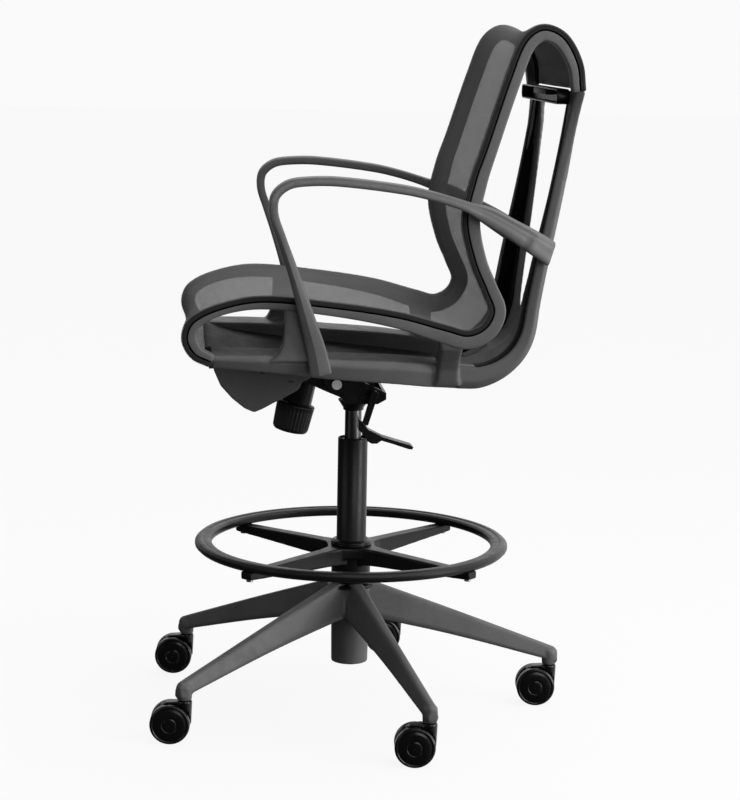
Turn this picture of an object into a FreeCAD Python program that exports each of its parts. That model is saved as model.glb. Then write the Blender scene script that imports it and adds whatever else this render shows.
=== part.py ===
import FreeCAD, Part
import math
import os

# Drafting chair: mesh seat and back in one sheet, gas lift, sliding foot ring, five-star base on casters.
# Millimetres. Z is up, the sitter faces -Y, the sitter's left is +X. The origin is on the floor on the
# column's axis.

# ---------------------------------------------------------------- driving dimensions
RUN = 0.05                      # radial clearance of a running fit
GAP = 0.3                       # clearance between touching curved parts

# casters
WHEEL_R = 32.5
WHEEL_IN = 5.2                  # inner face of each wheel, from the caster's middle plane
WHEEL_OUT = 23.8                # outer face
TRAIL = 22.9                    # stem axis to axle
STEM_R = 5.5
STEM_BOTTOM = 58.0
STEM_TOP = 90.0
AXLE_R = 4.0
AXLE_HALF = 19.5
FORK_HALF = 4.5
FORK_TOP = 68.9
FORK_NECK_R = 12.5
CASTER_SWING = math.radians(-4)  # every caster trails towards the front of the chair
SOCKET_R = 8.5
SOCKET_TOP = 92.0

# base
LEGS = 5
STEM_CIRCLE = 344.8
LEG_PHASE = math.radians(17.4)  # the first leg points this far to the rear of +X
LEG_SECTIONS = [                # radius, underside, top, width at the underside, width at the top
    (20, 161, 222, 46, 24),
    (174, 125, 167, 33, 15),
    (331, 82, 108, 24, 12),
    (354, 75, 99, 22, 12),
]
STUB_BOTTOM = 69.6
STUB_R = 12.0
HUB_R = 33.0
HUB_SKIRT_R = 31.0
HUB_BOTTOM = 77.0
HUB_SHOULDER = 150.0
HUB_TOP = 209.0
CAP_R = 39.0
CAP_TOP = 214.5

# gas lift
TUBE_R = 25.0
TUBE_BORE_R = 23.0
TUBE_BOTTOM = 100.0
TUBE_TOP = 465.0
CYL_R = 14.0
CYL_BORE_R = 12.5
CYL_BOTTOM = 205.0
CYL_TOP = 562.0
BUSH_BOTTOM = 400.0
BUSH_TOP = 462.0
ROD_R = 5.0
PISTON_Z = 434.0
PISTON_H = 10.0
PIN_R = 3.5
PIN_TOP = 568.0

# foot ring
RING_OUT_R = 264.6
RING_WIDTH = 28.0
RING_TOP = 292.0
RING_H = 15.0
SLEEVE_R = 33.0
SLEEVE_BOTTOM = 217.0
SLEEVE_TOP = 281.0
COLLAR_R = 34.5
COLLAR_TOP = 291.0
SPOKE_END_R = 261.0
SPOKE_ANGLES = (45, 135, 225, 315)

# tilt mechanism
PIVOT_Y = -33.0
PIVOT_Z = 564.0
PIVOT_R = 6.0
HOUSING_HALF = 55.0
HOUSING_WALL = 6.0
HOUSING_OUTLINE = [
    (-104, 585), (-30, 585), (0, 573), (50, 549), (50, 538), (36, 530), (-19, 530), (-23, 540),
    (-50, 551), (-68, 559), (-104, 572),
]
HOUSING_HOLLOW = [(-46, 620), (-46, 558), (-18, 545), (-14, 536), (32, 536), (44, 542), (44, 620)]
EAR_IN = 58.0
EAR_OUT = 63.0
KNOB_TOP = (-96.5, 523.0)
KNOB_TILT = math.radians(12.5)  # the knob's axis leans forward as it goes down
KNOB_LEN = 49.0
KNOB_TOP_R = 32.5
KNOB_END_R = 29.0
STEM_TUBE_R = 25.5              # the tube between housing and knob
STEM_TUBE_WALL = 2.5
COIL_R = 17.0                   # the spring inside it
COIL_WIRE = 2.0
LEVER_Y = 28.0
LEVER_Z = 550.0
LEVER_ROD_R = 5.0
LEVER_BAR = [(22, 551), (33, 551), (31, 541), (18, 499), (8, 501)]
PADDLE_OUTLINE = [
    (0, 518), (4, 511), (18, 496), (40, 485), (65, 477.5), (87, 471), (91, 468), (89, 464.5), (83, 465),
    (57, 473.5), (38, 479), (31, 474), (22, 474), (15, 478), (8, 490), (0, 497),
]
PADDLE_X = (84.2, 112.0)

# seat and back: one line in the YZ plane, from under the front edge, back along the seat, up the back and
# over the top. Each point is Y, Z and the depth of the plastic rail behind the line.
SIDE_X = 250.0                  # outer face of the side rails at seat height
SIDE_LEVEL = 663.0
SIDE_TAPER = 0.03               # the rails lean in by this much per millimetre of height
RAIL_X_WIDTH = 24.0
RAIL_LINE = [
    (-243, 628, 11), (-268, 640, 14), (-280, 664, 15), (-270, 689, 12), (-228, 710, 10),
    (-165, 722, 12), (-60, 714, 13), (47, 699, 17), (128, 678, 21), (160, 671, 21),
    (187, 684, 20), (199, 710, 19), (188, 740, 18), (168, 787, 18), (154, 850, 20),
    (165, 911, 19), (182, 962, 17), (219, 1077, 17), (240, 1128, 17), (266, 1146, 17),
    (297, 1134, 16), (320, 1095, 14), (326, 1054, 12),
]
GROOVE = 1.2                    # half width of the dark groove between rail and gasket
GASKET = 8.0                    # outer edge of the gasket band
SHEET_LOW = 8.2                 # the mesh lies between these two offsets
SHEET_HIGH = 10.2
SHEET_INSET = 1.5               # from the rails' outer faces to the mesh's edges

# lower beams: Y, inner X, outer X, underside, top
BEAM_SECTIONS = [
    (-243, 152, 247, 617.3, 638),
    (-140, 152, 243, 607.5, 637),
    (-40, 142, 232, 598, 630),
    (60, 130, 215, 588.5, 625),
    (152, 118, 188, 576.5, 615),
]
BEAM_SLOPE = -0.095             # fall of the beams' underside per millimetre of Y
BEAM_LEVEL = 594.2              # its height at the column
PLATE_HALF = 162.0              # the steel plate bolted under the beams
SEAT_SCREWS = ((-70, 153), (50, 141))   # Y and half spacing of its screws
PAN_HALF = 150.4                # the pan under the seat lies between the beams
PAN_OUTLINE = [
    (-236, 612), (-128, 607), (60, 594), (146, 586), (146, 591), (60, 600), (-110, 615), (-200, 627),
    (-250, 640), (-252, 631),
]

# spine: rear face in the YZ plane, with the thickness in front of it
SPINE_HALF = 188.0
SPINE_LINE = [
    (152, 576.5, 38), (190, 578, 36), (228, 595, 31), (258, 624, 28), (275, 660, 27),
    (283, 715, 26), (292, 768, 25), (313, 881, 20.5), (326, 960, 18.5), (338, 1045, 18),
]
WINDOW = [                      # half width of the opening between the struts, at each height
    (0, 688), (10, 698), (36, 763), (64, 829), (96, 894), (122, 961), (132, 995), (150, 1020), (160, 1034),
    (160, 1100),
]
CROSSBAR_HALF = 186.0
CROSSBAR_Y = (298.0, 318.0)
CROSSBAR_Z = (1031.0, 1055.0)
SHOULDER_TOP = 1051.0           # the struts flare out to the rail ends below this height

# arms: Y, Z and X of the middle of the ribbon, width across, thickness
ARM_LINE = [
    (-71, 609, 247, 15, 34), (-79, 646, 251, 16, 31), (-92, 690, 259, 18, 25), (-107, 739, 266, 23, 20),
    (-123, 786, 272, 29, 16), (-138, 828, 278, 34, 14), (-149, 862, 281, 36, 13.5),
    (-147, 889, 282, 37, 13.5), (-128, 906, 282, 38, 13.5), (-100, 911.5, 282, 38, 13.5),
    (-50, 912, 282, 38, 14), (49, 901, 280, 38, 14), (100, 890, 276, 37, 14), (149, 875, 269, 36, 16),
    (172, 866, 263, 34, 24), (190, 857.5, 254, 33, 29), (229, 836, 233, 30, 32), (264, 815.5, 213, 26, 37),
    (293, 797, 200.5, 22, 38.5),
]
ARM_STEPS = 44

# front cover, seen from the side, and the half width of its shell
COVER_HALF = 95.0
COVER_WALL = 3.0
COVER_OUTLINE = [
    (-237, 604), (-236, 591), (-225, 566), (-206, 545), (-186, 529), (-170, 522), (-156, 528), (-135, 539.5),
    (-114, 550.5), (-98, 560), (-92, 573), (-79, 579), (-79, 597),
]


# ---------------------------------------------------------------- helpers
def vec(x, y, z):
    return FreeCAD.Vector(x, y, z)


X_AXIS = vec(1, 0, 0)
Z_AXIS = vec(0, 0, 1)
KNOB_DOWN = vec(0, -math.sin(KNOB_TILT), -math.cos(KNOB_TILT))
KNOB_BASE = vec(0, KNOB_TOP[0], KNOB_TOP[1])


def save(name, shape):
    """Write one named piece, and stop if any of its solids is open or empty."""
    solids = shape.Solids
    if not solids or not all(s.isValid() and s.Volume > 0 for s in solids):
        raise ValueError("bad solid in " + name)
    shape = solids[0] if len(solids) == 1 else Part.makeCompound(solids)
    shape.exportStep(os.path.join("parts", name + ".step"))


def box(x, y, z):
    """A box between the two values of x, y and z."""
    return Part.makeBox(x[1] - x[0], y[1] - y[0], z[1] - z[0], vec(x[0], y[0], z[0]))


def rod(radius, low, high, x=0.0, y=0.0):
    return Part.makeCylinder(radius, high - low, vec(x, y, low), Z_AXIS)


def tube(outer, inner, low, high, x=0.0, y=0.0):
    return rod(outer, low, high, x, y).cut(rod(inner, low - 1, high + 1, x, y))


def cross_rod(radius, x0, x1, y, z):
    return Part.makeCylinder(radius, x1 - x0, vec(x0, y, z), X_AXIS)


def side_plate(outline, x0, x1):
    """Extrude a straight-sided outline in the YZ plane from x0 to x1."""
    points = [vec(x0, y, z) for y, z in outline]
    face = Part.Face(Part.makePolygon(points + points[:1]))
    return face.extrude(vec(x1 - x0, 0, 0))


def lathe(profile, base, axis):
    """Revolve a closed profile of (distance along the axis, radius) about the axis through base."""
    side = axis.cross(Z_AXIS if abs(axis.z) < 0.9 else X_AXIS).normalize()
    points = [base + axis * along + side * radius for along, radius in profile]
    return Part.Face(Part.makePolygon(points + points[:1])).revolve(base, axis, 360)


def ruled(sections):
    """A solid with flat or ruled sides through closed polygons of equal length."""
    wires = [Part.makePolygon(points + points[:1]) for points in sections]
    return Part.makeLoft(wires, True, True)


def smooth_line(points, count):
    """Even samples of the smooth YZ curve through points: (y, z, left normal, value) at each."""
    curve = Part.BSplineCurve()
    curve.interpolate([vec(0, p[0], p[1]) for p in points])
    knots = [curve.parameter(vec(0, p[0], p[1])) for p in points]
    out = []
    for i in range(count + 1):
        u = knots[0] + (knots[-1] - knots[0]) * i / count
        here = curve.value(u)
        run = curve.tangent(u)[0]
        k = 0
        while k < len(knots) - 2 and u > knots[k + 1]:
            k += 1
        t = (u - knots[k]) / (knots[k + 1] - knots[k])
        value = points[k][2] * (1 - t) + points[k + 1][2] * t
        out.append((here.y, here.z, (-run.z, run.y), value))
    return out


def band(line, low, high, x0, x1):
    """The strip between two offsets of a sampled line, extruded from x0 to x1."""
    def edge(offset):
        spots = []
        for y, z, normal, value in line:
            d = offset(value)
            spots.append(vec(x0, y + normal[0] * d, z + normal[1] * d))
        curve = Part.BSplineCurve()
        curve.interpolate(spots)
        return curve.toShape(), spots[0], spots[-1]

    first, a0, a1 = edge(low)
    second, b0, b1 = edge(high)
    wire = Part.Wire([first, Part.makeLine(a1, b1), second, Part.makeLine(b0, a0)])
    return Part.Face(wire).extrude(vec(x1 - x0, 0, 0))


def fixed(value):
    return lambda depth: value


def lean(shape):
    """Lean an upright +X piece inwards as the side rails do."""
    shear = FreeCAD.Matrix()
    shear.A13 = -SIDE_TAPER
    shear.A14 = SIDE_TAPER * SIDE_LEVEL
    return shape.transformGeometry(shear)


def mirrored(shape):
    return shape.mirror(vec(0, 0, 0), X_AXIS)


def save_pair(name, shape):
    save(name + "_left", shape)
    save(name + "_right", mirrored(shape))


def beam_underside(y):
    return BEAM_LEVEL + BEAM_SLOPE * y


# ---------------------------------------------------------------- base
def leg_angle(k):
    return LEG_PHASE + 2 * math.pi * k / LEGS


def leg():
    """One leg along +X: a tapered box with a narrow top, ending in an upright stub."""
    sections = []
    for r, low, high, wide, narrow in LEG_SECTIONS:
        a, b = wide / 2, narrow / 2
        sections.append([vec(r, -a, low), vec(r, a, low), vec(r, b, high), vec(r, -b, high)])
    tip_top = LEG_SECTIONS[-1][2] - 2
    return ruled(sections).fuse(rod(STUB_R, STUB_BOTTOM, tip_top, STEM_CIRCLE, 0))


def base_star():
    star = rod(HUB_R, HUB_SHOULDER - 5, HUB_TOP).fuse(rod(HUB_SKIRT_R, HUB_BOTTOM, HUB_SHOULDER))
    for k in range(LEGS):
        arm = leg()
        arm.rotate(vec(0, 0, 0), Z_AXIS, math.degrees(leg_angle(k)))
        star = star.fuse(arm)
    star = star.cut(rod(HUB_R + 57, HUB_TOP, HUB_TOP + 60))
    star = star.cut(rod(TUBE_R, TUBE_BOTTOM, HUB_TOP + 60))
    star = star.cut(rod(TUBE_BORE_R - 4, HUB_BOTTOM - 1, TUBE_BOTTOM + 1))
    for x, y in stem_places():
        star = star.cut(rod(SOCKET_R, STUB_BOTTOM - 1, SOCKET_TOP, x, y))
    return star.removeSplitter()


def stem_places():
    places = []
    for k in range(LEGS):
        a = leg_angle(k)
        places.append((STEM_CIRCLE * math.cos(a), STEM_CIRCLE * math.sin(a)))
    return places


def caster_sockets():
    sleeves = []
    for x, y in stem_places():
        sleeve = rod(SOCKET_R, STUB_BOTTOM, SOCKET_TOP - 0.2, x, y)
        sleeves.append(sleeve.cut(rod(STEM_R + RUN, STUB_BOTTOM - 1, SOCKET_TOP + 5, x, y)))
    return Part.makeCompound(sleeves)


def make_base():
    save("base_star", base_star())
    save("caster_sockets", caster_sockets())
    save("base_hub_cap", tube(CAP_R, TUBE_R + GAP, HUB_TOP, CAP_TOP))


# ---------------------------------------------------------------- casters
def caster(k, x, y):
    """One twin-wheel caster: fork, stem, axle and two wheels."""
    name = "caster_%d_" % (k + 1)
    axle = vec(math.cos(CASTER_SWING), math.sin(CASTER_SWING), 0)
    trail = vec(math.sin(CASTER_SWING), -math.cos(CASTER_SWING), 0)
    stem = vec(x, y, 0)
    hub = stem + trail * TRAIL + vec(0, 0, WHEEL_R)

    plate = Part.makeCylinder(25, 2 * FORK_HALF, hub - axle * FORK_HALF, axle)
    neck = rod(FORK_NECK_R, WHEEL_R - 6, FORK_TOP, x, y)
    low = hub + trail * 12 + vec(0, 0, 14)
    web = Part.Face(Part.makePolygon([p - axle * FORK_HALF for p in (
        low, hub + trail * 2 + vec(0, 0, 31), stem + trail * 6 + vec(0, 0, FORK_TOP),
        stem + vec(0, 0, FORK_TOP), stem + vec(0, 0, WHEEL_R - 6), low)]))
    fork = plate.fuse(neck).fuse(web.extrude(axle * 2 * FORK_HALF))
    for side in (-1, 1):
        start = hub + axle * side * (WHEEL_IN - 0.5)
        fork = fork.cut(Part.makeCylinder(WHEEL_R + 0.9, 30, start, axle * side))
    fork = fork.cut(Part.makeCylinder(AXLE_R, 60, hub - axle * 30, axle))
    fork = fork.cut(rod(STEM_R, STEM_BOTTOM, FORK_TOP + 5, x, y))
    save(name + "fork", max(fork.Solids, key=lambda solid: solid.Volume))
    pins = [rod(STEM_R, STEM_BOTTOM, STEM_TOP, x, y)]
    pins.append(Part.makeCylinder(AXLE_R, 2 * AXLE_HALF, hub - axle * AXLE_HALF, axle))
    save(name + "pins", Part.makeCompound(pins))

    profile = [
        (WHEEL_IN, AXLE_R + RUN), (WHEEL_IN, 12), (WHEEL_IN + 1.5, 14), (WHEEL_IN + 1.5, 26), (WHEEL_IN, 28),
        (WHEEL_IN, 31.2), (WHEEL_IN + 1.3, WHEEL_R), (18.6, WHEEL_R), (20.6, 31.4), (21.6, 29.6),
        (21.6, 28.4), (20.9, 27.4), (22.4, 22), (23.4, 12), (WHEEL_OUT, 0), (AXLE_HALF + 0.4, 0),
        (AXLE_HALF + 0.4, AXLE_R + RUN),
    ]
    save(name + "wheel_left", lathe(profile, hub, axle))
    save(name + "wheel_right", lathe(profile, hub, axle * -1))


def make_casters():
    for k, (x, y) in enumerate(stem_places()):
        caster(k, x, y)


# ---------------------------------------------------------------- gas lift
def make_lift():
    save("outer_tube", tube(TUBE_R, TUBE_BORE_R, TUBE_BOTTOM, TUBE_TOP).fuse(
        tube(TUBE_BORE_R + 0.5, ROD_R + 1.5, TUBE_BOTTOM, TUBE_BOTTOM + 4)))
    save("guide_bush", tube(TUBE_BORE_R, CYL_R + RUN, BUSH_BOTTOM, BUSH_TOP))
    save("thrust_bearing", tube(13, ROD_R + RUN, TUBE_BOTTOM + 4, TUBE_BOTTOM + 12))
    save("retaining_clip", tube(9, ROD_R + RUN, TUBE_BOTTOM - 3, TUBE_BOTTOM))
    piston = rod(CYL_BORE_R - RUN, PISTON_Z, PISTON_Z + PISTON_H)
    head = rod(8, TUBE_BOTTOM - 9, TUBE_BOTTOM - 3.5)
    collar = rod(10, TUBE_BOTTOM + 12.2, TUBE_BOTTOM + 16)
    save("piston_rod", rod(ROD_R, TUBE_BOTTOM - 9, PISTON_Z).fuse(piston).fuse(head).fuse(collar))
    gas = rod(CYL_R, CYL_BOTTOM, CYL_TOP)
    gas = gas.cut(rod(CYL_BORE_R, CYL_BOTTOM + 14, CYL_TOP - 30))
    gas = gas.cut(rod(ROD_R + RUN, CYL_BOTTOM - 1, CYL_BOTTOM + 20))
    gas = gas.cut(rod(PIN_R + RUN, CYL_TOP - 20, CYL_TOP + 1))
    save("gas_cylinder", gas)
    save("release_pin", rod(PIN_R, CYL_TOP - 12, PIN_TOP))


# ---------------------------------------------------------------- foot ring
def spoke():
    """One channel spoke along +X: deep at the hub and shallow at its end, open below."""
    top_in, top_out = SLEEVE_TOP, RING_TOP - RING_H
    low_in, low_out = 251.0, 264.0
    ring_in = RING_OUT_R - RING_WIDTH - 4
    outline = [(SLEEVE_R - 4, low_in), (SPOKE_END_R, low_out), (SPOKE_END_R, top_out), (ring_in, top_out),
               (SLEEVE_R - 4, top_in)]
    points = [vec(r, -12, z) for r, z in outline]
    solid = Part.Face(Part.makePolygon(points + points[:1])).extrude(vec(0, 24, 0))
    hollow = [(SLEEVE_R + 3, low_in - 3), (SPOKE_END_R - 16, low_out - 4), (SPOKE_END_R - 16, top_out - 6),
              (SLEEVE_R + 3, top_in - 7)]
    points = [vec(r, -9, z) for r, z in hollow]
    return solid.cut(Part.Face(Part.makePolygon(points + points[:1])).extrude(vec(0, 18, 0)))


def ring_spider():
    spider = rod(SLEEVE_R, SLEEVE_BOTTOM, SLEEVE_TOP)
    for angle in SPOKE_ANGLES:
        arm = spoke()
        arm.rotate(vec(0, 0, 0), Z_AXIS, angle)
        spider = spider.fuse(arm)
    return spider.cut(rod(TUBE_R + RUN, SLEEVE_BOTTOM - 1, SLEEVE_TOP + 1)).removeSplitter()


def ring_screws():
    screws = []
    for angle in SPOKE_ANGLES:
        a = math.radians(angle)
        r = RING_OUT_R - RING_WIDTH / 2
        x, y = r * math.cos(a), r * math.sin(a)
        screws.append(rod(3, 262.8, RING_TOP - 6, x, y).fuse(rod(5.5, 259.5, 262.8, x, y)))
    return Part.makeCompound(screws)


def make_foot_ring():
    r0 = RING_OUT_R - RING_WIDTH
    r1 = RING_OUT_R
    z0 = RING_TOP - RING_H
    profile = [(z0, r0 + 3), (z0, r1 - 5), (z0 + 5, r1), (RING_TOP - 5, r1), (RING_TOP, r1 - 6),
               (RING_TOP, r0 + 6), (RING_TOP - 4, r0), (z0 + 3, r0)]
    hoop = lathe(profile, vec(0, 0, 0), Z_AXIS)
    screws = ring_screws()
    save("foot_ring", hoop.cut(screws))
    save("ring_spider", ring_spider().cut(screws))
    save("ring_screws", screws)
    z = SLEEVE_TOP
    profile = [(z, TUBE_R + RUN), (z, COLLAR_R - 1), (z + 1, COLLAR_R), (COLLAR_TOP - 4, COLLAR_R),
               (COLLAR_TOP, COLLAR_R - 5), (COLLAR_TOP, TUBE_R + RUN)]
    save("ring_collar", lathe(profile, vec(0, 0, 0), Z_AXIS))


# ---------------------------------------------------------------- tilt mechanism
def along_knob(radius, start, end):
    """A cylinder on the knob's axis; start and end are distances below the knob's top face."""
    return Part.makeCylinder(radius, end - start, KNOB_BASE + KNOB_DOWN * start, KNOB_DOWN)


def make_mechanism():
    tray = side_plate(HOUSING_OUTLINE, -HOUSING_HALF, HOUSING_HALF)
    tray = tray.cut(side_plate(HOUSING_HOLLOW, -HOUSING_HALF + HOUSING_WALL, HOUSING_HALF - HOUSING_WALL))
    tray = tray.fuse(along_knob(STEM_TUBE_R, -50, -2))
    tray = tray.cut(along_knob(STEM_TUBE_R - STEM_TUBE_WALL, -42, 0))
    tray = tray.cut(along_knob(ROD_R + RUN, -70, 0))
    tray = tray.cut(cross_rod(PIVOT_R, -80, 80, PIVOT_Y, PIVOT_Z))
    tray = tray.cut(rod(16.5, 520, 545))
    tray = tray.cut(cross_rod(LEVER_ROD_R + RUN, 30, 80, LEVER_Y, LEVER_Z))
    save("mechanism_housing", tray.removeSplitter())
    socket = lathe([(512, CYL_R), (512, 17), (516, 17.5), (529, 26), (529.8, 26), (529.8, 16.2), (548, 16.2),
                    (548, CYL_R)], vec(0, 0, 0), Z_AXIS)
    save("taper_socket", socket)
    pin = cross_rod(PIVOT_R, -EAR_OUT - 1.2, EAR_OUT + 1.2, PIVOT_Y, PIVOT_Z)
    for side in (-1, 1):
        start = side * (EAR_OUT + GAP)
        pin = pin.fuse(Part.makeCylinder(PIVOT_R + 2.2, 3, vec(start, PIVOT_Y, PIVOT_Z), X_AXIS * side))
    save("pivot_pin", pin)

    coils = []
    turns = 7
    for k in range(turns):
        centre = KNOB_BASE + KNOB_DOWN * (-38 + 5.6 * k)
        coils.append(Part.makeTorus(COIL_R, COIL_WIRE, centre, KNOB_DOWN))
    save("tension_spring", Part.makeCompound(coils))
    save("tension_screw", along_knob(ROD_R, -56, 30).fuse(along_knob(8, -1.5, 0)))

    profile = [(0, ROD_R), (0, KNOB_TOP_R - 2), (2, KNOB_TOP_R), (KNOB_LEN - 6, KNOB_END_R + 1),
               (KNOB_LEN - 2, KNOB_END_R - 2), (KNOB_LEN, KNOB_END_R - 8), (KNOB_LEN, 0), (30, 0), (30, ROD_R)]
    knob = lathe(profile, KNOB_BASE, KNOB_DOWN)
    save("tension_knob", knob)

    stalk = cross_rod(LEVER_ROD_R, 34, 84, LEVER_Y, LEVER_Z)
    bar = side_plate(LEVER_BAR, 78, 84)
    level = (PIN_TOP + 0.6, PIN_TOP + 4)
    finger = box((34, 40), (-6, 28), level).fuse(box((34, 40), (24, 32), (LEVER_Z, level[1])))
    finger = finger.fuse(box((-6, 40), (-6, 6), level))
    save("height_lever", stalk.fuse(bar).fuse(cross_rod(6.5, 76, 84, LEVER_Y, LEVER_Z)).fuse(finger))
    paddle = side_plate(PADDLE_OUTLINE, *PADDLE_X)
    save("lever_paddle", paddle.fuse(box((72, 84.2), (9, 17), (482, 490))))


# ---------------------------------------------------------------- seat and back
def rail_line():
    return smooth_line(RAIL_LINE, 150)


def side_rail(line):
    """The plastic rail: a deep band behind the groove and a thin spine under the groove."""
    inner = SIDE_X - RAIL_X_WIDTH
    deep = band(line, lambda depth: -depth, fixed(-GROOVE), inner, SIDE_X)
    spine = band(line, lambda depth: -GROOVE - 1, fixed(GROOVE), inner, SIDE_X - 2.5)
    return lean(deep.fuse(spine))


def make_seat():
    line = rail_line()
    inner = SIDE_X - RAIL_X_WIDTH
    save_pair("side_rail", side_rail(line))
    save_pair("edge_gasket", lean(band(line, fixed(GROOVE + 0.05), fixed(GASKET), inner + 2, SIDE_X)))
    half = lean_sheet(band(line, fixed(SHEET_LOW), fixed(SHEET_HIGH), 0, SIDE_X - SHEET_INSET))
    save("mesh_sheet", half.fuse(mirrored(half)))


def lean_sheet(half):
    """Narrow the +X half of the sheet with height, keeping its middle edge in place."""
    edge = SIDE_X - SHEET_INSET
    beyond = band(rail_line(), fixed(SHEET_LOW - 1), fixed(SHEET_HIGH + 1), edge, edge + 60)
    return half.cut(lean(beyond))


def beam():
    sections = []
    for y, x0, x1, z0, z1 in BEAM_SECTIONS:
        sections.append([vec(x0, y, z0), vec(x1, y, z0), vec(x1, y, z1), vec(x0, y, z1)])
    return ruled(sections)


def front_post():
    """Upright tie between the beam and the seat rail, beside the arm's foot."""
    return ruled([
        [vec(214, -131, 636), vec(242, -131, 636), vec(240, -84, 636), vec(214, -84, 636)],
        [vec(222, -128, 705), vec(246, -128, 705), vec(246, -88, 705), vec(222, -88, 705)],
    ])


def rear_post():
    """Tie that runs out from the rear of the beam to the bend of the rail."""
    return ruled([
        [vec(138, 114, 600), vec(198, 114, 600), vec(193, 151.5, 600), vec(138, 151.5, 600)],
        [vec(222, 114, 658), vec(248, 114, 658), vec(248, 153, 652), vec(222, 153, 652)],
    ])


def shoulder(side):
    """The flare at the top of one strut that carries the end of the side rail."""
    front, back = CROSSBAR_Y[1] + 0.2, 334.0
    return ruled([
        [vec(side * 160, front - 8, 1000), vec(side * 187, front - 8, 1000),
         vec(side * 187, back - 3, 1000), vec(side * 160, back - 3, 1000)],
        [vec(side * 163, front, SHOULDER_TOP), vec(side * 234, front, SHOULDER_TOP),
         vec(side * 234, back, SHOULDER_TOP), vec(side * 163, back, SHOULDER_TOP)],
    ])


def make_frame():
    line = smooth_line(SPINE_LINE, 60)
    spine = band(line, fixed(0), lambda depth: depth, -SPINE_HALF, SPINE_HALF)
    outline = [vec(x, 0, z) for x, z in WINDOW] + [vec(-x, 0, z) for x, z in reversed(WINDOW[1:])]
    window = Part.Face(Part.makePolygon(outline + outline[:1])).extrude(vec(0, 500, 0))
    spine = spine.cut(window)
    for side in (-1, 1):
        spine = spine.fuse(shoulder(side))
    crossbar = box((-CROSSBAR_HALF, CROSSBAR_HALF), CROSSBAR_Y, CROSSBAR_Z)
    save("spine_frame", spine.cut(crossbar))
    save("top_crossbar", crossbar)
    rail = side_rail(rail_line())
    save_pair("lower_beam", beam().cut(rail))
    posts = [front_post().cut(beam()).cut(rail), rear_post().cut(beam()).cut(rail)]
    save("rail_posts", Part.makeCompound(posts + [mirrored(post) for post in posts]))
    pan = side_plate(PAN_OUTLINE, -PAN_HALF, PAN_HALF)
    for cutter in (beam(), mirrored(beam())):
        pan = max(pan.cut(cutter).Solids, key=lambda solid: solid.Volume)
    save("front_cross_member", pan)


def seat_plate():
    """Steel channel under the beams, with two ears that hang on the pivot pin."""
    y0, y1, thick, seat_gap = -96.0, 76.0, 6.0, 0.6
    top = [(y0, beam_underside(y0) - seat_gap), (y1, beam_underside(y1) - seat_gap)]
    low = [(y1, beam_underside(y1) - thick), (y0, beam_underside(y0) - thick)]
    plate = side_plate(top + low, -PLATE_HALF, PLATE_HALF)
    ear_top = beam_underside(0) - thick / 2
    for side in (-1, 1):
        x0, x1 = sorted((side * EAR_IN, side * EAR_OUT))
        outline = [(-66, ear_top), (-52, 560), (-40, 551), (-26, 551), (-14, 560), (2, ear_top)]
        plate = plate.fuse(side_plate(outline, x0, x1))
    plate = plate.cut(box((28, 46), (-10, 62), (560, 610)))   # room over the lever's finger
    return plate.cut(cross_rod(PIVOT_R + RUN, -90, 90, PIVOT_Y, PIVOT_Z)).removeSplitter()


def front_cover():
    """Moulded shell under the front of the seat, open above and slotted for the tension tube."""
    outer = side_plate(COVER_OUTLINE, -COVER_HALF, COVER_HALF)
    ys = [p[0] for p in COVER_OUTLINE]
    zs = [p[1] for p in COVER_OUTLINE]
    mid_y, mid_z = (min(ys) + max(ys)) / 2, 610.0
    kx = 1 - 2 * COVER_WALL / (max(ys) - min(ys))
    kz = 1 - COVER_WALL / (mid_z - min(zs))
    core = [(mid_y + (y - mid_y) * kx, mid_z + (z - mid_z) * kz) for y, z in COVER_OUTLINE]
    core = [(core[0][0], 640)] + core + [(core[-1][0], 640)]
    shell = outer.cut(side_plate(core, -COVER_HALF + COVER_WALL, COVER_HALF - COVER_WALL))
    return shell.cut(box((-58.5, 58.5), (-122, -60), (500, 640)))


def make_undercarriage():
    plate = seat_plate()
    save("seat_plate", plate)
    clear_of = plate.fuse(box((-PAN_HALF, PAN_HALF), (-245, -60), (604, 640)))
    save("front_cover", max(front_cover().cut(clear_of).Solids, key=lambda solid: solid.Volume))
    screws = []
    for y, half in SEAT_SCREWS:
        for x in (half, -half):
            z = beam_underside(y)
            screws.append(rod(3, z - 8, z + 14, x, y).fuse(rod(6, z - 9, z - 6.4, x, y)))
    save("seat_screws", Part.makeCompound(screws))


# ---------------------------------------------------------------- arms
def smooth_rows(rows, count):
    """Even samples along the smooth curve through rows of numbers that start with a place."""
    lengths = [0.0]
    for a, b in zip(rows, rows[1:]):
        lengths.append(lengths[-1] + math.dist(a[:3], b[:3]))
    slopes = []
    for i in range(len(rows)):
        lo, hi = max(i - 1, 0), min(i + 1, len(rows) - 1)
        slopes.append([(q - p) / (lengths[hi] - lengths[lo]) for p, q in zip(rows[lo], rows[hi])])
    out = []
    for n in range(count + 1):
        s = lengths[-1] * n / count
        k = max(i for i in range(len(rows) - 1) if lengths[i] <= s)
        h = lengths[k + 1] - lengths[k]
        t = (s - lengths[k]) / h
        weights = (2 * t**3 - 3 * t**2 + 1, (t**3 - 2 * t**2 + t) * h, -2 * t**3 + 3 * t**2, (t**3 - t**2) * h)
        parts = (rows[k], slopes[k], rows[k + 1], slopes[k + 1])
        out.append([sum(w * part[c] for w, part in zip(weights, parts)) for c in range(len(rows[0]))])
    return out


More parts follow.
